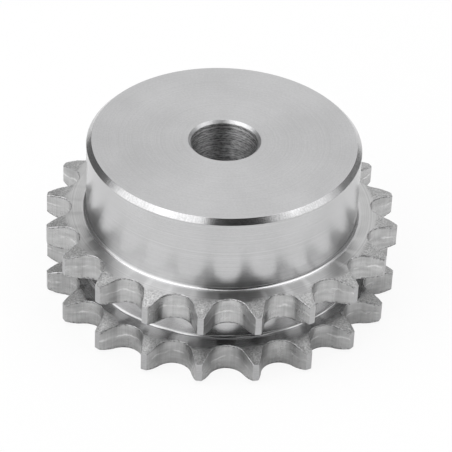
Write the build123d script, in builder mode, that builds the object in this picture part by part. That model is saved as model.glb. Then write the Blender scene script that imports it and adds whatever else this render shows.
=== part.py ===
from build123d import *

import math
import os

# Duplex roller-chain sprocket with a hub on one side, turned and milled from one piece of steel.
# Lengths are in millimetres and angles in degrees.
# The origin is on the axis, in the outer face of the lower tooth row. +Z runs along the bore
# towards the free end of the hub, and one tooth of each row is centred on +X.

# Chain that the sprocket is cut for
chain_pitch = 9.525
roller_diameter = 6.35
strand_pitch = 10.24
strand_count = 2

# Teeth
tooth_count = 20
row_width = 5.2
tip_addendum = 1.43
seat_clearance = 0.12
seating_angle = 127.0
flank_radius = 24.5
relief_depth = 0.8
relief_radius = 10.0

# Groove between the rows: how far its floor lies inside the root circle
groove_step = 2.15

# Hub: how far its wall lies inside the root circle
hub_step = 2.65
hub_fillet = 0.6
hub_chamfer = 0.88
overall_length = 30.0

# Pilot bore
bore_diameter = 12.0
bore_chamfer = 0.5

# Circles that follow from the chain and the number of teeth
pitch_radius = chain_pitch / (2 * math.sin(math.pi / tooth_count))
seat_radius = roller_diameter / 2 + seat_clearance
root_radius = pitch_radius - seat_radius
tip_radius = pitch_radius + tip_addendum
groove_radius = root_radius - groove_step
hub_radius = root_radius - hub_step
bore_radius = bore_diameter / 2

# Heights of the row faces
row_floors = [strand * strand_pitch for strand in range(strand_count)]
toothed_width = row_floors[-1] + row_width

# The side relief leaves each row face on an arc that is tangent to it
relief_reach = math.sqrt(2 * relief_radius * relief_depth - relief_depth**2)
relief_start = tip_radius - relief_reach

# The gap cutter runs past the tips, so that its straight outer side clears the tip circle
cutter_overrun = 1.0
cutter_radius = tip_radius + cutter_overrun


def flank_end(flank_centre):
    """Where a flank arc about the given centre reaches the cutter's outer radius."""
    distance = flank_centre.length
    bearing = math.atan2(flank_centre.Y, flank_centre.X)
    cosine = (cutter_radius**2 + distance**2 - flank_radius**2) / (2 * cutter_radius * distance)
    angle = bearing - math.acos(cosine)
    return Vector(cutter_radius * math.cos(angle), cutter_radius * math.sin(angle))


def circles_at(radius, *heights):
    """Circular edges of the part being built that have this radius and lie at these heights."""
    circles = sprocket.edges().filter_by(GeomType.CIRCLE)
    same_size = circles.filter_by(lambda edge: math.isclose(edge.radius, radius, abs_tol=1e-4))
    return same_size.filter_by(
        lambda edge: any(math.isclose(edge.center().Z, height, abs_tol=1e-4) for height in heights)
    )


# Tooth gap, drawn on +X: a round roller seat on the pitch circle and two bulging flanks
with BuildSketch(Plane.XY) as gap:
    seat_centre = Vector(pitch_radius, 0)
    to_flank = Vector(1, 0).rotate(Axis.Z, 180 - seating_angle / 2)
    seat_end = seat_centre + to_flank * seat_radius
    flank_centre = seat_centre + to_flank * (seat_radius + flank_radius)
    outer_end = flank_end(flank_centre)
    bulge = ((seat_end + outer_end) / 2 - flank_centre).normalized() * flank_radius
    flank_middle = flank_centre + bulge
    with BuildLine():
        ThreePointArc(seat_end, (root_radius, 0), (seat_end.X, -seat_end.Y))
        ThreePointArc(seat_end, flank_middle, outer_end)
        ThreePointArc(
            (seat_end.X, -seat_end.Y),
            (flank_middle.X, -flank_middle.Y),
            (outer_end.X, -outer_end.Y),
        )
        Line(outer_end, (outer_end.X, -outer_end.Y))
    make_face()

with BuildPart() as sprocket:
    # Turned blank: core, hub and one relieved disc for each row, in half section
    with BuildSketch(Plane.XZ):
        Rectangle(groove_radius, toothed_width, align=(Align.MIN, Align.MIN))
        Rectangle(hub_radius, overall_length, align=(Align.MIN, Align.MIN))
        for floor in row_floors:
            ceiling = floor + row_width
            with BuildLine():
                Polyline((relief_start, ceiling), (0, ceiling), (0, floor), (relief_start, floor))
                TangentArc((relief_start, floor), (tip_radius, floor + relief_depth), tangent=(1, 0))
                Line((tip_radius, floor + relief_depth), (tip_radius, ceiling - relief_depth))
                TangentArc((relief_start, ceiling), (tip_radius, ceiling - relief_depth), tangent=(1, 0))
            make_face()
    revolve(axis=Axis.Z)

    # The turning tool leaves a round corner at the hub's foot; the hub's free end is chamfered
    fillet(circles_at(hub_radius, toothed_width), radius=hub_fillet)
    chamfer(circles_at(hub_radius, overall_length), length=hub_chamfer)

    # Pilot bore, chamfered at both ends
    Hole(bore_radius)
    chamfer(circles_at(bore_radius, 0, overall_length), length=bore_chamfer)

    # Tooth gaps, milled through all rows at once; the first lies half a pitch from the tooth on +X
    with BuildSketch(Plane.XY):
        with PolarLocations(0, tooth_count, start_angle=180 / tooth_count):
            add(gap.sketch)
    extrude(amount=toothed_width, mode=Mode.SUBTRACT)

sprocket.part.label = "sprocket"

os.makedirs("parts", exist_ok=True)
export_step(sprocket.part, "parts/sprocket.step")
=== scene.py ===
import math

import bmesh
import bpy
from mathutils import Matrix, Vector
from mathutils.kdtree import KDTree


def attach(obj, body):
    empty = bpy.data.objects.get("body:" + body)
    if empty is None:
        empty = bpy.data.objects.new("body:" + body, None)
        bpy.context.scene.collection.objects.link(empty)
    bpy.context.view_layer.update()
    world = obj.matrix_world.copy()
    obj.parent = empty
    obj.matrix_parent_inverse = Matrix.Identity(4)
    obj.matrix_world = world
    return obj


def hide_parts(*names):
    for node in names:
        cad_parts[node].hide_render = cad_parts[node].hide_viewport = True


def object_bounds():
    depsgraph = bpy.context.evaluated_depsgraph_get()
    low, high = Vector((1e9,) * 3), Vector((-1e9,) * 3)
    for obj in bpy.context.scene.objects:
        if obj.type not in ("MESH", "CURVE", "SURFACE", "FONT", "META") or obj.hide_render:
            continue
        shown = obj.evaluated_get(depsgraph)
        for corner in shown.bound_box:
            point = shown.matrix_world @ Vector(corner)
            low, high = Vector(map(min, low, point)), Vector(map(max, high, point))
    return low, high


# Chain sprocket with two rows of teeth, turned and milled from one piece of steel.
# Lengths are in metres. The bore's axis is Z, and one tooth of each row is centred on +X.

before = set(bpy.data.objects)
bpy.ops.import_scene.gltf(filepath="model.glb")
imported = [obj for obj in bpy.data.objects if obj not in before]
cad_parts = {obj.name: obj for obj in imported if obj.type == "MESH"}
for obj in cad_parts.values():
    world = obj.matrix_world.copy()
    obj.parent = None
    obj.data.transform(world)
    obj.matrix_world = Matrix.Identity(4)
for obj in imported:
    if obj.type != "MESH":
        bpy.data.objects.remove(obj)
cad_low, cad_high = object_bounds()

MM = 0.001
TAU = 2 * math.pi
ORIGIN = (0, 0, 0)
UP = (0, 0, 1)

# Chain that the teeth are cut for
TEETH = 20
CHAIN_PITCH = 9.525 * MM
ROLLER_DIAMETER = 6.35 * MM
STRAND_PITCH = 10.24 * MM

# Teeth
ROW_WIDTH = 5.2 * MM
TIP_ADDENDUM = 1.43 * MM
SEAT_CLEARANCE = 0.12 * MM
SEATING_ANGLE = math.radians(127)
FLANK_RADIUS = 24.5 * MM
RELIEF_DEPTH = 0.8 * MM
RELIEF_RADIUS = 10 * MM

# Groove, hub and bore
GROOVE_STEP = 2.15 * MM
HUB_STEP = 2.65 * MM
HUB_CHAMFER = 0.88 * MM
BORE_RADIUS = 6 * MM
BORE_CHAMFER = 0.5 * MM
CORNER_RADIUS = 0.6 * MM

# Circles and heights that follow
PITCH_RADIUS = CHAIN_PITCH / (2 * math.sin(math.pi / TEETH))
SEAT_RADIUS = ROLLER_DIAMETER / 2 + SEAT_CLEARANCE
ROOT_RADIUS = PITCH_RADIUS - SEAT_RADIUS
TIP_RADIUS = PITCH_RADIUS + TIP_ADDENDUM
GROOVE_RADIUS = ROOT_RADIUS - GROOVE_STEP
HUB_RADIUS = ROOT_RADIUS - HUB_STEP
RELIEF_REACH = math.sqrt(2 * RELIEF_RADIUS * RELIEF_DEPTH - RELIEF_DEPTH**2)
RELIEF_START = TIP_RADIUS - RELIEF_REACH
TOOTHED_WIDTH = STRAND_PITCH + ROW_WIDTH
TOP = cad_high.z

# How finely the surfaces are cut up
AROUND = 480
CORNER_STEPS = 8
RELIEF_STEPS = 12
SEAT_STEPS = 36
FLANK_STEPS = 18

# How far the cutter's sweep goes on past the tips
CUTTER_OVERRUN = 2 * MM

# Ragged burr along the gaps: its width, how far it is raised, and how far its vertices are then shaken
BURR_WIDTH = 0.14 * MM
BURR_SEGMENTS = 4
BURR_RAISE = 0.035 * MM
BURR_RAGGED = 0.035 * MM
BURR_SEED = 3

# Vertices closer together along a gap's edge are merged, and those this close beside it are taken away
LEAST_SPACING = 0.16 * MM
CLEARING = 0.32 * MM

# Edges of the chamfers are broken this far back
EDGE_BREAK = 0.025 * MM

# Vertices this close together become one
MERGE_WITHIN = 0.001 * MM

# A face whose centre is this close to a circle or a height is on it
NEAR = 0.1 * MM

# Limits for how much of a face's normal points up or down
WALL_UNDER = 0.1
SIDE_OVER = 0.5
LEVEL_OVER = 0.999
BURR_OVER = 0.15
BURR_UNDER = 0.88

# Two directions are the same where their cosine is over this
SAME_WAY = 0.99

# Edges that turn by less than this, in degrees, are shaded smooth
SMOOTH_UNDER = 25

# The shading weighs faces by area and passes over tiny ones, so it is worked out on an enlarged mesh
SHADING_SCALE = 1000


def deselect_all():
    """Leaves no object selected."""
    bpy.ops.object.select_all(action="DESELECT")


def pick(piece):
    """Makes a piece the only one selected, and the active one."""
    deselect_all()
    piece.select_set(True)
    bpy.context.view_layer.objects.active = piece


def edit(piece, kind="VERT"):
    """Opens a piece in edit mode, with nothing in it selected."""
    pick(piece)
    bpy.ops.object.mode_set(mode="EDIT")
    bpy.ops.mesh.select_mode(type=kind)
    bpy.ops.mesh.select_all(action="DESELECT")
    return bmesh.from_edit_mesh(piece.data)


def leave_edit():
    """Goes back to object mode."""
    bpy.ops.object.mode_set(mode="OBJECT")


def arc(centre, radius, start, end, steps):
    """Points of an arc in the half section, past its first. Its angles are in degrees."""
    turns = [math.radians(start + (end - start) * k / steps) for k in range(1, steps + 1)]
    return [(centre[0] + radius * math.cos(turn), centre[1] + radius * math.sin(turn)) for turn in turns]


def row_outside(floor):
    """A row's points in the half section, from the relief's start on its upper face to the lower one."""
    ceiling = floor + ROW_WIDTH
    swing = math.degrees(math.asin(RELIEF_REACH / RELIEF_RADIUS))
    upper = arc((RELIEF_START, ceiling - RELIEF_RADIUS), RELIEF_RADIUS, 90, 90 - swing, RELIEF_STEPS)
    lower = arc((RELIEF_START, floor + RELIEF_RADIUS), RELIEF_RADIUS, swing - 90, -90, RELIEF_STEPS)
    return [(RELIEF_START, ceiling), *upper, (TIP_RADIUS, floor + RELIEF_DEPTH), *lower]


def broken_edge(corner, before, after):
    """The two points that stand in for a corner of the half section whose edge is broken."""
    corner = Vector(corner)
    return [tuple(corner + (Vector(end) - corner).normalized() * EDGE_BREAK) for end in (before, after)]


def half_section():
    """The turned blank's half section, as radius and height, from the bore's upper end to its lower end."""
    hub_foot = (HUB_RADIUS + CORNER_RADIUS, TOOTHED_WIDTH + CORNER_RADIUS)
    groove_top = (GROOVE_RADIUS + CORNER_RADIUS, STRAND_PITCH - CORNER_RADIUS)
    groove_foot = (GROOVE_RADIUS + CORNER_RADIUS, ROW_WIDTH + CORNER_RADIUS)
    bore_in = (BORE_RADIUS, TOP - BORE_CHAMFER)
    bore_rim = (BORE_RADIUS + BORE_CHAMFER, TOP)
    hub_rim = (HUB_RADIUS - HUB_CHAMFER, TOP)
    hub_side = (HUB_RADIUS, TOP - HUB_CHAMFER)
    return [
        *broken_edge(bore_in, (BORE_RADIUS, 0), bore_rim),
        *broken_edge(bore_rim, bore_in, hub_rim),
        *broken_edge(hub_rim, bore_rim, hub_side),
        *broken_edge(hub_side, hub_rim, (HUB_RADIUS, 0)),
        (HUB_RADIUS, hub_foot[1]),
        *arc(hub_foot, CORNER_RADIUS, 180, 270, CORNER_STEPS),
        *row_outside(STRAND_PITCH),
        (groove_top[0], STRAND_PITCH),
        *arc(groove_top, CORNER_RADIUS, 90, 180, CORNER_STEPS),
        (GROOVE_RADIUS, groove_foot[1]),
        *arc(groove_foot, CORNER_RADIUS, 180, 270, CORNER_STEPS),
        *row_outside(0),
        (BORE_RADIUS + BORE_CHAMFER, 0),
        (BORE_RADIUS, BORE_CHAMFER),
    ]


def turn_blank():
    """The turned blank: a ring drawn out along the half section and closed through the bore."""
    section = half_section()
    radius, height = section[0]
    deselect_all()
    bpy.ops.mesh.primitive_circle_add(vertices=AROUND, radius=radius, location=(0, 0, height))
    blank = bpy.context.object
    blank.name = "sprocket_steel"
    bpy.ops.object.transform_apply(location=True, rotation=True, scale=True)
    edit(blank, "EDGE")
    bpy.ops.mesh.select_all(action="SELECT")
    for next_radius, next_height in [*section[1:], section[0]]:
        bpy.ops.mesh.extrude_edges_move(TRANSFORM_OT_translate={"value": (0, 0, next_height - height)})
        grow = next_radius / radius
        bpy.ops.transform.resize(value=(grow, grow, 1), center_override=ORIGIN)
        radius, height = next_radius, next_height
    bpy.ops.mesh.select_all(action="SELECT")
    bpy.ops.mesh.remove_doubles(threshold=MERGE_WITHIN)
    bpy.ops.mesh.normals_make_consistent(inside=False)
    leave_edit()
    return blank


def lone_vertex(name, place):
    """A piece of one vertex, for edges to be spun out of."""
    deselect_all()
    bpy.ops.mesh.primitive_plane_add(size=MM)
    piece = bpy.context.object
    piece.name = name
    mesh = edit(piece)
    mesh.verts.ensure_lookup_table()
    for vertex in mesh.verts[1:]:
        vertex.select = True
    bpy.ops.mesh.delete(type="VERT")
    mesh.verts.ensure_lookup_table()
    mesh.verts[0].co = place
    return piece


def select_vertex_at(mesh, place):
    """Selects only the vertex nearest to a place."""
    bpy.ops.mesh.select_all(action="DESELECT")
    min(mesh.verts, key=lambda vertex: (vertex.co - Vector(place)).length).select = True
    mesh.select_flush_mode()


def gap_cutter():
    """The milling cutter's sweep: a roller seat with two bulging flanks, and its copies round the axis."""
    floor = -ROW_WIDTH
    sweep = TOOTHED_WIDTH + 2 * ROW_WIDTH
    root = (ROOT_RADIUS, 0, floor)
    half_seat = SEATING_ANGLE / 2
    seat_out = PITCH_RADIUS - SEAT_RADIUS * math.cos(half_seat)
    seat_aside = SEAT_RADIUS * math.sin(half_seat)
    to_flank = SEAT_RADIUS + FLANK_RADIUS
    flank_out = PITCH_RADIUS - to_flank * math.cos(half_seat)
    flank_aside = to_flank * math.sin(half_seat)
    flank_turn = math.asin((TIP_RADIUS + CUTTER_OVERRUN - seat_out) / FLANK_RADIUS)
    piece = lone_vertex("gap_cutter", root)
    mesh = bmesh.from_edit_mesh(piece.data)
    for side in (1, -1):
        seat_centre = (PITCH_RADIUS, 0, floor)
        flank_centre = (flank_out, side * flank_aside, floor)
        select_vertex_at(mesh, root)
        bpy.ops.mesh.spin(steps=SEAT_STEPS // 2, angle=side * half_seat, center=seat_centre, axis=UP)
        select_vertex_at(mesh, (seat_out, side * seat_aside, floor))
        bpy.ops.mesh.spin(steps=FLANK_STEPS, angle=-side * flank_turn, center=flank_centre, axis=UP)
    bpy.ops.mesh.select_all(action="SELECT")
    bpy.ops.mesh.edge_face_add()
    bpy.ops.mesh.extrude_region_move(TRANSFORM_OT_translate={"value": (0, 0, sweep)})
    bpy.ops.mesh.select_all(action="SELECT")
    bpy.ops.mesh.normals_make_consistent(inside=False)
    bpy.ops.transform.rotate(value=math.pi / TEETH, orient_axis="Z", center_override=ORIGIN)
    others = TEETH - 1
    bpy.ops.mesh.spin(steps=others, angle=TAU * others / TEETH, center=ORIGIN, axis=UP, dupli=True)
    leave_edit()
    return piece


def distance_out(place):
    """A place's distance from the bore's axis."""
    return math.hypot(place.x, place.y)


def on_tip(centre, normal):
    """Whether a face with this centre and normal lies on a tooth's turned tip."""
    outward = Vector((centre.x, centre.y, 0)).normalized()
    return distance_out(centre) > TIP_RADIUS - NEAR and normal.dot(outward) > SAME_WAY


def on_gap_wall(face):
    """Whether a face lies on the milled wall of a gap."""
    centre = face.calc_center_median()
    toothed = distance_out(centre) > ROOT_RADIUS - NEAR
    return toothed and abs(face.normal.z) < WALL_UNDER and not on_tip(centre, face.normal)


def on_row_side(face):
    """Whether a face lies on a row's upper or lower side."""
    return abs(face.normal.z) > SIDE_OVER


def is_gap_edge(edge):
    """Whether a gap's wall meets a row's side at this edge."""
    return any(map(on_gap_wall, edge.link_faces)) and any(map(on_row_side, edge.link_faces))


def is_upright(edge):
    """Whether an edge runs along Z."""
    run = edge.verts[1].co - edge.verts[0].co
    return abs(run.z) > SAME_WAY * run.length


def gap_rims(mesh):
    """The vertices along the gaps' edges."""
    return {vertex for edge in mesh.edges if is_gap_edge(edge) for vertex in edge.verts}


def search_tree(vertices):
    """A tree that finds the nearest of some vertices."""
    tree = KDTree(len(vertices))
    for index, vertex in enumerate(vertices):
        tree.insert(vertex.co, index)
    tree.balance()
    return tree


def clear_gap_edges(piece):
    """Merges the vertices that crowd along the gaps' edges, and takes away those close beside them."""
    mesh = edit(piece)
    rims = gap_rims(mesh)
    corners = [vertex for vertex in rims if any(map(is_upright, vertex.link_edges))]
    kept = search_tree(corners)
    for vertex in rims.difference(corners):
        place, _, spacing = kept.find(vertex.co)
        if spacing < LEAST_SPACING:
            vertex.co = place
    bpy.ops.mesh.select_all(action="SELECT")
    bpy.ops.mesh.remove_doubles(threshold=MERGE_WITHIN)
    bpy.ops.mesh.select_all(action="DESELECT")
    rims = gap_rims(mesh)
    edge_lines = search_tree(rims)
    for vertex in set(mesh.verts) - rims:
        close = edge_lines.find(vertex.co)[2] < CLEARING
        vertex.select = close and all(map(on_row_side, vertex.link_faces))
    bpy.ops.mesh.dissolve_verts()
    leave_edit()


def mill_gaps(blank):
    """Takes the gaps out of both rows."""
    cutter = gap_cutter()
    pick(blank)
    cut = blank.modifiers.new("gaps", "BOOLEAN")
    cut.operation = "DIFFERENCE"
    cut.solver = "EXACT"
    cut.object = cutter
    bpy.ops.object.modifier_apply(modifier=cut.name)
    bpy.data.objects.remove(cutter)
    clear_gap_edges(blank)


def raise_burrs(piece):
    """The ragged burr along the edges where the cutter left the rows' sides."""
    mesh = edit(piece, "EDGE")
    for edge in mesh.edges:
        edge.select = is_gap_edge(edge)
    bpy.ops.mesh.bevel(
        offset=BURR_WIDTH, segments=BURR_SEGMENTS, profile=0.5, affect="EDGES",
        clamp_overlap=False, loop_slide=False,
    )
    mesh = bmesh.from_edit_mesh(piece.data)
    ridge = [vertex for vertex in mesh.verts if all(face.select for face in vertex.link_faces)]
    bpy.ops.mesh.region_to_loop()
    bpy.ops.mesh.mark_sharp()
    bpy.ops.mesh.select_mode(type="VERT")
    for way in (1, -1):
        bpy.ops.mesh.select_all(action="DESELECT")
        for vertex in ridge:
            vertex.select = vertex.normal.z * way > 0 and vertex.co.z > BURR_WIDTH
        mesh.select_flush_mode()
        bpy.ops.transform.translate(value=(0, 0, way * BURR_RAISE))
        bpy.ops.transform.vertex_random(offset=BURR_RAGGED, uniform=0, normal=0, seed=BURR_SEED)
    leave_edit()


def resize(piece, factor):
    """Makes a piece so many times larger about the origin."""
    piece.scale = (factor, factor, factor)
    bpy.ops.object.transform_apply(location=False, rotation=False, scale=True)


def finish_mesh(piece):
    """Smooth shading, but for the true edges, with large faces kept flat beside small ones."""
    pick(piece)
    bpy.ops.object.shade_smooth_by_angle(angle=math.radians(SMOOTH_UNDER), keep_sharp_edges=True)
    resize(piece, SHADING_SCALE)
    even = piece.modifiers.new("even_shading", "WEIGHTED_NORMAL")
    even.keep_sharp = True
    bpy.ops.object.modifier_apply(modifier=even.name)
    resize(piece, 1 / SHADING_SCALE)


def place_node(tree, kind, settings=None, **inputs):
    """A node with its settings, whose inputs are values or the outputs of other nodes."""
    node = tree.nodes.new("ShaderNode" + kind)
    for name, value in (settings or {}).items():
        setattr(node, name, value)
    for name, value in inputs.items():
        key = int(name[1:]) if name[0] == "i" and name[1:].isdigit() else name.replace("_", " ")
        if isinstance(value, bpy.types.NodeSocket):
            tree.links.new(value, node.inputs[key])
        else:
            node.inputs[key].default_value = value
    return node


def maths(tree, operation, first, second=0.0):
    """The output of a Math node."""
    return place_node(tree, "Math", {"operation": operation}, i0=first, i1=second).outputs[0]


def vector_maths(tree, operation, first, second=ORIGIN):
    """The vector that a Vector Math node puts out."""
    return place_node(tree, "VectorMath", {"operation": operation}, i0=first, i1=second).outputs[0]


def spread(tree, value, low, high, to_low=0.0, to_high=1.0):
    """A value's range from low to high brought to another range, without going past it."""
    node = place_node(
        tree, "MapRange", {"interpolation_type": "SMOOTHSTEP"},
        Value=value, From_Min=low, From_Max=high, To_Min=to_low, To_Max=to_high,
    )
    return node.outputs["Result"]


def mixed(tree, mask, first, second):
    """Two values mixed by a mask."""
    return place_node(tree, "Mix", {"data_type": "FLOAT"}, Factor=mask, i2=first, i3=second).outputs[0]


def noise(tree, place, scale, detail, roughness=0.5):
    """Noise at a place, with so many cells to a metre."""
    node = place_node(tree, "TexNoise", Vector=place, Scale=scale, Detail=detail, Roughness=roughness)
    return node.outputs["Fac"]


def line_noise(tree, along, scale, detail, roughness=0.5):
    """Noise that changes only along one number."""
    line = {"noise_dimensions": "1D"}
    node = place_node(tree, "TexNoise", line, W=along, Scale=scale, Detail=detail, Roughness=roughness)
    return node.outputs["Fac"]


def own_place(tree):
    """The place on the part."""
    return place_node(tree, "TexCoord").outputs["Object"]


def round_the_axis(tree):
    """The place on the part, its distance from the bore's axis, and its height."""
    place = own_place(tree)
    split = place_node(tree, "SeparateXYZ", Vector=place)
    level = place_node(tree, "CombineXYZ", X=split.outputs["X"], Y=split.outputs["Y"])
    radius = place_node(tree, "VectorMath", {"operation": "LENGTH"}, i0=level.outputs[0]).outputs["Value"]
    return place, radius, split.outputs["Z"]


def new_group(name, inputs, outputs):
    """A shader node group with named numbers going in and coming out, and its two end nodes."""
    tree = bpy.data.node_groups.new(name, "ShaderNodeTree")
    for label, value in inputs.items():
        socket = tree.interface.new_socket(name=label, in_out="INPUT", socket_type="NodeSocketFloat")
        socket.default_value = value
    for label in outputs:
        tree.interface.new_socket(name=label, in_out="OUTPUT", socket_type="NodeSocketFloat")
    entry = tree.nodes.new("NodeGroupInput").outputs
    leave = tree.nodes.new("NodeGroupOutput").inputs
    return tree, entry, leave


def lathe_marks_group():
    """Grooves that a turning tool leaves, so many mm apart. Flat is 1 on an end face and 0 on a wall."""
    tree, entry, leave = new_group(
        "lathe marks", {"Feed": 0.2, "Flat": 1.0, "Wander": 0.3}, ("Height", "Band")
    )
    place, radius, height = round_the_axis(tree)
    across = mixed(tree, entry["Flat"], height, radius)
    drift = noise(tree, place, 0.09 / MM, 2.0)
    turns = maths(tree, "DIVIDE", maths(tree, "DIVIDE", across, MM), entry["Feed"])
    turns = maths(tree, "ADD", turns, maths(tree, "MULTIPLY", drift, entry["Wander"]))
    fine = line_noise(tree, turns, 1.0, 3.0, 0.6)
    wave = maths(tree, "SINE", maths(tree, "MULTIPLY", turns, TAU))
    worn = noise(tree, place, 0.25 / MM, 2.0)
    regular = maths(tree, "MULTIPLY", wave, spread(tree, worn, 0.4, 0.65, to_high=0.1))
    tree.links.new(maths(tree, "ADD", fine, regular), leave["Height"])
    tree.links.new(line_noise(tree, turns, 0.12, 2.0), leave["Band"])
    return tree


def grain_group():
    """Fine pits and specks. Size is their width in mm."""
    tree, entry, leave = new_group("grain", {"Size": 0.2}, ("Height", "Cloud"))
    place = own_place(tree)
    scale = maths(tree, "DIVIDE", 1 / MM, entry["Size"])
    cloud_scale = maths(tree, "MULTIPLY", scale, 0.06)
    tree.links.new(noise(tree, place, scale, 4.0, 0.75), leave["Height"])
    tree.links.new(noise(tree, place, cloud_scale, 4.0), leave["Cloud"])
    return tree


def streaks_group():
    """Drawn-out marks on upright walls, so many mm wide round the axis and so many mm long up it."""
    tree, entry, leave = new_group("streaks", {"Width": 0.25, "Length": 6.0}, ("Height",))
    across = maths(tree, "DIVIDE", 1 / MM, entry["Width"])
    along = maths(tree, "DIVIDE", 1 / MM, entry["Length"])
    stretch = place_node(tree, "CombineXYZ", X=across, Y=across, Z=along).outputs[0]
    drawn = vector_maths(tree, "MULTIPLY", own_place(tree), stretch)
    tree.links.new(noise(tree, drawn, 1.0, 3.0, 0.6), leave["Height"])
    return tree


def chatter_marks_group():
    """Short lines across a turned rim. Size is their spacing in mm on the hub's rim."""
    tree, entry, leave = new_group("chatter marks", {"Size": 0.3}, ("Height",))
    place = own_place(tree)
    level = vector_maths(tree, "MULTIPLY", place, (1, 1, 0))
    around = vector_maths(tree, "NORMALIZE", level)
    scale = maths(tree, "DIVIDE", HUB_RADIUS / MM, entry["Size"])
    rays = noise(tree, around, scale, 3.0, 0.7)
    flecks = noise(tree, place, 3 / MM, 2.0)
    tree.links.new(mixed(tree, 0.5, rays, flecks), leave["Height"])
    return tree


def meeting_line_group():
    """The wavy line round each row at which the cuts from its two sides met. Its sizes are in mm."""
    tree, entry, leave = new_group("meeting line", {"Level": 2.8, "Wave": 2.4, "Width": 0.3}, ("Line",))
    place, _, height = round_the_axis(tree)
    in_row = maths(tree, "DIVIDE", maths(tree, "MODULO", height, STRAND_PITCH), MM)
    wave = noise(tree, place, 0.3 / MM, 3.0)
    swing = maths(tree, "MULTIPLY", maths(tree, "SUBTRACT", wave, 0.5), entry["Wave"])
    off = maths(tree, "SUBTRACT", maths(tree, "SUBTRACT", in_row, swing), entry["Level"])
    near = maths(tree, "DIVIDE", maths(tree, "ABSOLUTE", off), entry["Width"])
    patchy = noise(tree, place, 0.5 / MM, 2.0)
    line = maths(tree, "MULTIPLY", spread(tree, near, 1.0, 0.0), spread(tree, patchy, 0.38, 0.62))
    tree.links.new(line, leave["Line"])
    return tree


def rim_tear_and_shade_group():
    """The strip under the rows' rims on the gaps' walls: tearing, and painted shade under the burr. Width is
    its breadth in mm.
    """
    tree, entry, leave = new_group("rim tear and painted shade", {"Width": 0.3}, ("Tear and shade",))
    place, radius, height = round_the_axis(tree)
    in_row = maths(tree, "MODULO", height, STRAND_PITCH)
    from_middle = maths(tree, "ABSOLUTE", maths(tree, "SUBTRACT", in_row, ROW_WIDTH / 2))
    past_start = maths(tree, "MAXIMUM", maths(tree, "SUBTRACT", radius, RELIEF_START), 0.0)
    fallen = maths(tree, "DIVIDE", maths(tree, "MULTIPLY", past_start, past_start), 2 * RELIEF_RADIUS)
    rim = maths(tree, "SUBTRACT", ROW_WIDTH / 2, fallen)
    # The mask of the strip under each rim, later darkened as tearing and as painted shade under the burr
    inside = maths(tree, "DIVIDE", maths(tree, "SUBTRACT", rim, from_middle), MM)
    ragged = spread(tree, noise(tree, place, 2.4 / MM, 3.0, 0.7), 0.35, 0.65, to_low=0.2, to_high=1.8)
    reach = maths(tree, "MULTIPLY", ragged, entry["Width"])
    tree.links.new(spread(tree, maths(tree, "DIVIDE", inside, reach), 1.0, 0.5), leave["Tear and shade"])
    return tree


LATHE_MARKS = lathe_marks_group()
GRAIN = grain_group()
STREAKS = streaks_group()
CHATTER_MARKS = chatter_marks_group()
MEETING_LINE = meeting_line_group()
RIM_TEAR_AND_SHADE = rim_tear_and_shade_group()

# The tangent runs round the axis, and a quarter turn brings the blur across the lathe's marks
ACROSS_THE_MARKS = 0.25

# The rows' sides change from turned to rough between these radii, in patches
TURNED_UP_TO = 27.4 * MM
ROUGH_FROM = 28.5 * MM
PATCH_REACH = 0.6 * MM

# Sides this close to the groove's middle height are darkened by painted shade and given a smoother finish,
# and those beyond the second one are not
PAINTED_GROOVE_SHADE_UP_TO = 3.5 * MM
UNSHADED_FROM = 4 * MM


def use_group(tree, group, **values):
    """A group placed in a material with its own values."""
    node = tree.nodes.new("ShaderNodeGroup")
    node.node_tree = group
    for name, value in values.items():
        node.inputs[name].default_value = value
    return node.outputs


def new_steel(name, directional=0.0):
    """A bare steel material: its tree and its shader. Directional steel reflects in drawn-out streaks."""
    material = bpy.data.materials.new(name)
    material.use_nodes = True
    tree = material.node_tree
    shader = tree.nodes["Principled BSDF"]
    shader.inputs["Metallic"].default_value = 1
    if directional:
        shader.inputs["Anisotropic"].default_value = directional
        shader.inputs["Anisotropic Rotation"].default_value = ACROSS_THE_MARKS
        round_axis = place_node(tree, "Tangent", {"direction_type": "RADIAL", "axis": "Z"}).outputs[0]
        tree.links.new(round_axis, shader.inputs["Tangent"])
    return material, tree, shader


def grey(level):
    """A neutral steel colour of that level."""
    return (level, level, level * 1.01, 1)


def tint(tree, shader, mask, dark, light):
    """Colours the steel between two greys by a mask."""
    mix = place_node(tree, "Mix", {"data_type": "RGBA"}, i0=mask, i6=grey(dark), i7=grey(light))
    tree.links.new(mix.outputs[2], shader.inputs["Base Color"])


def colour_grey(tree, shader, level):
    """Colours the steel by a grey that changes over it."""
    colour = place_node(tree, "CombineColor", Red=level, Green=level, Blue=level)
    tree.links.new(colour.outputs[0], shader.inputs["Base Color"])


def relief(tree, shader, height, depth):
    """Bump of that depth, in mm, from a height between 0 and 1."""
    bump = place_node(tree, "Bump", Height=height, Distance=depth * MM)
    tree.links.new(bump.outputs[0], shader.inputs["Normal"])


def turned_steel(name, feed, flat, rough, directional, depth, greys, lines=0.5):
    """Steel with a lathe's grooves, so many mm apart and deep. Lines is their share in the colour."""
    material, tree, shader = new_steel(name, directional)
    marks = use_group(tree, LATHE_MARKS, Feed=feed, Flat=flat)
    specks = use_group(tree, GRAIN, Size=0.4)
    dust = mixed(tree, 0.65, specks["Cloud"], specks["Height"])
    shade = mixed(tree, lines, dust, marks["Height"])
    tint(tree, shader, spread(tree, shade, 0.35, 0.65), *greys)
    banded = spread(tree, marks["Band"], 0.3, 0.7, to_low=rough * 0.98, to_high=rough * 1.02)
    tree.links.new(banded, shader.inputs["Roughness"])
    relief(tree, shader, marks["Height"], depth)
    return material


def chattered_steel(name, rough, depth, greys):
    """A chamfer's steel: the form tool chattered, which leaves short lines down its slope."""
    material, tree, shader = new_steel(name, directional=0.4)
    chatter = use_group(tree, CHATTER_MARKS, Size=0.3)
    tint(tree, shader, spread(tree, chatter["Height"], 0.35, 0.65), *greys)
    shader.inputs["Roughness"].default_value = rough
    relief(tree, shader, chatter["Height"], depth)
    return material


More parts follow.
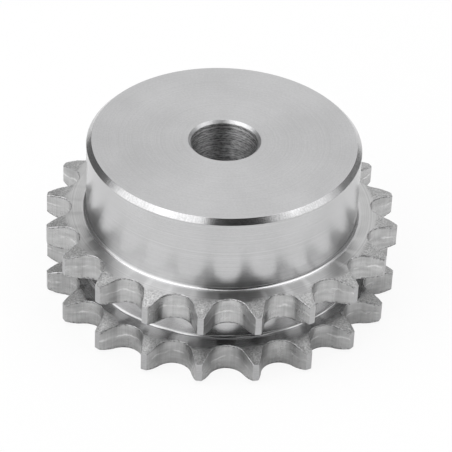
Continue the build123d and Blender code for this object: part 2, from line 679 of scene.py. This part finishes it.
def drilled_steel():
    """The bore: broken scratches that the drill and its chips left round the wall."""
    material, tree, shader = new_steel("drilled bore steel", directional=0.9)
    scratches = use_group(tree, STREAKS, Width=0.9, Length=0.13)
    marks = use_group(tree, LATHE_MARKS, Feed=0.4, Flat=0.0, Wander=1.5)
    specks = use_group(tree, GRAIN, Size=0.3)
    pitted = mixed(tree, 0.25, scratches["Height"], specks["Height"])
    shade = mixed(tree, 0.3, pitted, marks["Height"])
    tint(tree, shader, spread(tree, shade, 0.4, 0.6), dark=0.18, light=0.72)
    rough = spread(tree, scratches["Height"], 0.35, 0.65, to_low=0.6, to_high=0.48)
    tree.links.new(rough, shader.inputs["Roughness"])
    relief(tree, shader, mixed(tree, 0.3, scratches["Height"], marks["Height"]), depth=0.02)
    return material


def burr_steel():
    """The burr along the gaps: torn steel, dark in its nicks."""
    material, tree, shader = new_steel("burr steel")
    specks = use_group(tree, GRAIN, Size=0.5)
    tint(tree, shader, spread(tree, specks["Height"], 0.38, 0.6), dark=0.3, light=0.66)
    shader.inputs["Roughness"].default_value = 0.42
    relief(tree, shader, specks["Height"], depth=0.03)
    return material


def toothed_side_steel():
    """The rows' sides: turned near the hub, darkened by painted shade and smoother in the groove, rough and
    pitted towards the teeth.
    """
    material, tree, shader = new_steel("row side steel", directional=0.68)
    _, radius, height = round_the_axis(tree)
    marks = use_group(tree, LATHE_MARKS, Feed=0.3, Flat=1.0, Wander=0.8)
    specks = use_group(tree, GRAIN, Size=0.3)
    from_groove = maths(tree, "ABSOLUTE", maths(tree, "SUBTRACT", height, TOOTHED_WIDTH / 2))
    # Painted shade: near the groove's middle height the sides' colour is darkened, standing in for the shade
    # in the groove
    groove_painted_shade_and_gloss = spread(tree, from_groove, UNSHADED_FROM, PAINTED_GROOVE_SHADE_UP_TO)
    patches = spread(tree, specks["Cloud"], 0.35, 0.65, to_low=-PATCH_REACH, to_high=PATCH_REACH)
    toothed = spread(tree, maths(tree, "ADD", radius, patches), TURNED_UP_TO, ROUGH_FROM)
    turned_shade = mixed(tree, 0.5, marks["Height"], specks["Cloud"])
    shade = mixed(tree, toothed, turned_shade, specks["Height"])
    # The darker greys in the groove are painted shade; the lower roughness there is the finish
    dark = mixed(tree, toothed, mixed(tree, groove_painted_shade_and_gloss, 0.52, 0.36), 0.36)
    light = mixed(tree, toothed, mixed(tree, groove_painted_shade_and_gloss, 0.62, 0.45), 0.64)
    colour_grey(tree, shader, spread(tree, shade, 0.38, 0.62, to_low=dark, to_high=light))
    rough = mixed(tree, toothed, mixed(tree, groove_painted_shade_and_gloss, 0.29, 0.2), 0.44)
    tree.links.new(rough, shader.inputs["Roughness"])
    turned_height = maths(tree, "MULTIPLY", marks["Height"], 0.12)
    relief(tree, shader, mixed(tree, toothed, turned_height, specks["Height"]), depth=0.03)
    return material


def milled_steel():
    """The gaps' walls: upright lines, waves from the cutter, rims with tearing and painted shade, and the
    line where cuts met.
    """
    material, tree, shader = new_steel("milled gap steel")
    lines = use_group(tree, STREAKS, Width=0.3, Length=6.0)
    waves = use_group(tree, STREAKS, Width=5.0, Length=1.2)
    specks = use_group(tree, GRAIN, Size=0.3)
    met = use_group(tree, MEETING_LINE)["Line"]
    rim_tear_and_shade = use_group(tree, RIM_TEAR_AND_SHADE, Width=0.28)["Tear and shade"]
    shade = mixed(tree, 0.65, lines["Height"], waves["Height"])
    plain = spread(tree, shade, 0.32, 0.68, to_low=0.4, to_high=0.56)
    lined = maths(tree, "ADD", plain, maths(tree, "MULTIPLY", met, 0.22))
    # Painted shade: the strip under each rim is darkened in its colour, partly for tearing and partly for
    # the burr's shadow
    colour_grey(tree, shader, maths(tree, "MULTIPLY", lined, mixed(tree, rim_tear_and_shade, 1.0, 0.44)))
    rough = spread(tree, specks["Cloud"], 0.3, 0.7, to_low=0.24, to_high=0.36)
    tree.links.new(rough, shader.inputs["Roughness"])
    height = mixed(tree, 0.7, lines["Height"], waves["Height"])
    ridged = maths(tree, "ADD", height, maths(tree, "MULTIPLY", met, 0.2))
    relief(tree, shader, ridged, depth=0.02)
    return material


def surface_of(face):
    """The surface that a face of the finished mesh belongs to."""
    centre = face.center
    radius = distance_out(centre)
    slope = abs(face.normal.z)
    chamfered = WALL_UNDER < slope < SAME_WAY
    if radius < BORE_RADIUS + NEAR:
        return "bore"
    if chamfered and radius < BORE_RADIUS + 2 * BORE_CHAMFER:
        return "bore_chamfer"
    if chamfered and centre.z > TOP - 2 * HUB_CHAMFER:
        return "chamfer"
    if centre.z > TOP - NEAR:
        return "end"
    if centre.z > TOOTHED_WIDTH + CORNER_RADIUS:
        return "wall"
    if on_tip(centre, face.normal):
        return "tip"
    if radius > ROOT_RADIUS - 2 * BURR_WIDTH and BURR_OVER < slope < BURR_UNDER:
        return "burr"
    if radius > ROOT_RADIUS - NEAR:
        return "gap" if slope < WALL_UNDER else "side"
    if centre.z < ROW_WIDTH or slope > LEVEL_OVER:
        return "side"
    return "groove"


def dress(piece):
    """Gives each surface the finish of the tool that made it."""
    finishes = {
        "end": turned_steel(
            "turned end steel", feed=0.34, flat=1, rough=0.33, directional=0.5,
            depth=0.002, greys=(0.535, 0.625), lines=0.22,
        ),
        "wall": turned_steel(
            "turned wall steel", feed=0.32, flat=0, rough=0.25, directional=0.72,
            depth=0.0017, greys=(0.52, 0.615), lines=0.4,
        ),
        "chamfer": chattered_steel("chamfer steel", rough=0.2, depth=0.011, greys=(0.5, 0.6)),
        "bore_chamfer": chattered_steel("bore chamfer steel", rough=0.4, depth=0.02, greys=(0.55, 0.66)),
        "groove": turned_steel(
            "groove steel", feed=0.3, flat=0, rough=0.24, directional=0.7,
            depth=0.003, greys=(0.54, 0.62),
        ),
        "bore": drilled_steel(),
        "burr": burr_steel(),
        "side": toothed_side_steel(),
        "tip": turned_steel(
            "tooth tip steel", feed=0.2, flat=0, rough=0.35, directional=0.3,
            depth=0.01, greys=(0.42, 0.53),
        ),
        "gap": milled_steel(),
    }
    for material in finishes.values():
        piece.data.materials.append(material)
    order = list(finishes)
    for face in piece.data.polygons:
        face.material_index = order.index(surface_of(face))


# The photograph's camera, with its turn and roll in radians and its elevation in degrees
CAMERA_TURN = math.radians(4.76)
CAMERA_ROLL = math.radians(-2.6)
CAMERA_ELEVATION = 36.27
CAMERA_DISTANCE = 453.9 * MM
CAMERA_ASIDE = 0.94 * MM
CAMERA_LIFT = 8.97 * MM
LENS = 196
SENSOR = 36
NEAREST_SEEN = 10 * MM
FARTHEST_SEEN = 20


def towards(azimuth, elevation):
    """The direction from the object at an azimuth, from the camera's side towards +X, and an elevation."""
    turn = CAMERA_TURN + math.radians(azimuth)
    rise = math.radians(elevation)
    return Vector((math.sin(turn) * math.cos(rise), -math.cos(turn) * math.cos(rise), math.sin(rise)))


def place_camera():
    """The camera, looking down on the hub from the front."""
    back = towards(0, CAMERA_ELEVATION)
    right = Vector((math.cos(CAMERA_TURN), math.sin(CAMERA_TURN), 0))
    up = back.cross(right)
    data = bpy.data.cameras.new("camera")
    data.lens = LENS
    data.sensor_width = SENSOR
    data.clip_start = NEAREST_SEEN
    data.clip_end = FARTHEST_SEEN
    camera = bpy.data.objects.new("camera", data)
    bpy.context.scene.collection.objects.link(camera)
    eye = back * CAMERA_DISTANCE + right * CAMERA_ASIDE + up * CAMERA_LIFT
    level = Matrix((right, up, back)).transposed().to_4x4()
    camera.matrix_world = Matrix.Translation(eye) @ level @ Matrix.Rotation(-CAMERA_ROLL, 4, "Z")
    bpy.context.scene.camera = camera


# The studio's white room, and how far off its lamps and cards hang
ROOM_WHITE = 0.9
LAMP_DISTANCE = 1.2
CARD_DISTANCE = 1.5
# Each lamp's azimuth and elevation in degrees, its width and height, and its brightness beside a white of 1
LAMPS = {
    "left softbox": (-65, 40, 1.65, 1.7, 0.7),
    "overhead softbox": (-85, 71, 1.0, 1.0, 0.9),
    "right softbox": (90, 59, 0.8, 0.7, 1.2),
    "low softbox": (89, 35, 0.42, 0.23, 0.5),
}
# The azimuths in degrees where each dark card starts and ends, the elevation it reaches, and its grey
DARK_CARDS = {
    "front_card": (-13, 46, 80, 0.03),
    "right_card": (46, 108, 22, 0.2),
    "right_back_card": (108, 145, 45, 0.38),
    "left_back_card": (199, 266, 50, 0.2),
}
CARD_SEGMENTS = 120
CARD_RINGS = 60
# The floor's size and grey, and how far it is whitened where it is seen straight and in the metal
FLOOR_SIZE = 6
FLOOR_GREY = 0.93
FLOOR_WHITENING = 0.9
FLOOR_WHITENING_IN_METAL = 0.15


def hang_lamp(name, azimuth, elevation, width, height, brightness):
    """A softbox that faces the object."""
    data = bpy.data.lights.new(name, "AREA")
    data.shape = "RECTANGLE"
    data.size = width
    data.size_y = height
    data.energy = math.pi * width * height * brightness
    lamp = bpy.data.objects.new(name, data)
    lamp.visible_camera = False
    away = towards(azimuth, elevation)
    lamp.location = away * LAMP_DISTANCE
    lamp.rotation_euler = away.to_track_quat("Z", "Y").to_euler()
    bpy.context.scene.collection.objects.link(lamp)


def plain_material(name, level):
    """A matt material of one grey, for the studio."""
    material = bpy.data.materials.new(name)
    material.use_nodes = True
    shader = material.node_tree.nodes["Principled BSDF"]
    shader.inputs["Base Color"].default_value = (level, level, level, 1)
    shader.inputs["Roughness"].default_value = 1
    shader.inputs["Specular IOR Level"].default_value = 0
    return material


def in_card(face, start, end, top):
    """Whether this face of a sphere round the object belongs to a card."""
    away = face.calc_center_median().normalized()
    azimuth = math.degrees(math.atan2(away.x, -away.y) - CAMERA_TURN)
    elevation = math.degrees(math.asin(away.z))
    return 0 < elevation < top and (azimuth - start) % 360 < end - start


def hang_card(name, start, end, top, level):
    """A dark card that bends round the object. The camera doesn't see it."""
    deselect_all()
    bpy.ops.mesh.primitive_uv_sphere_add(segments=CARD_SEGMENTS, ring_count=CARD_RINGS, radius=CARD_DISTANCE)
    card = bpy.context.object
    card.name = name
    mesh = edit(card, "FACE")
    for face in mesh.faces:
        face.select = not in_card(face, start, end, top)
    bpy.ops.mesh.delete(type="FACE")
    leave_edit()
    card.data.materials.append(plain_material(name, level))
    card.visible_camera = False


def lay_floor():
    """The pale floor, whitened in part where it is seen, straight or in the metal. It keeps the shadow."""
    deselect_all()
    bpy.ops.mesh.primitive_plane_add(size=FLOOR_SIZE, location=ORIGIN)
    floor = bpy.context.object
    floor.name = "floor"
    material = plain_material("floor", FLOOR_GREY)
    tree = material.node_tree
    glow = place_node(tree, "Emission", Color=(1, 1, 1, 1), Strength=1.0)
    path = place_node(tree, "LightPath").outputs
    straight = maths(tree, "MULTIPLY", path["Is Camera Ray"], FLOOR_WHITENING)
    mirrored = maths(tree, "ADD", path["Is Glossy Ray"], path["Is Transmission Ray"])
    whiten = maths(tree, "ADD", straight, maths(tree, "MULTIPLY", mirrored, FLOOR_WHITENING_IN_METAL))
    mix = place_node(tree, "MixShader", Fac=whiten)
    tree.links.new(tree.nodes["Principled BSDF"].outputs[0], mix.inputs[1])
    tree.links.new(glow.outputs[0], mix.inputs[2])
    tree.links.new(mix.outputs[0], tree.nodes["Material Output"].inputs["Surface"])
    floor.data.materials.append(material)


def light_room():
    """The white room, its lamps, its dark cards and the floor."""
    world = bpy.data.worlds.new("studio")
    bpy.context.scene.world = world
    world.use_nodes = True
    room = world.node_tree.nodes["Background"]
    room.inputs["Color"].default_value = (ROOM_WHITE, ROOM_WHITE, ROOM_WHITE, 1)
    for name, lamp in LAMPS.items():
        hang_lamp(name, *lamp)
    for name, card in DARK_CARDS.items():
        hang_card(name, *card)
    lay_floor()


place_camera()
sprocket = turn_blank()
mill_gaps(sprocket)
raise_burrs(sprocket)
finish_mesh(sprocket)
dress(sprocket)
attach(sprocket, "root")
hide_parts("sprocket")
light_room()
bpy.context.scene.view_settings.view_transform = "Standard"
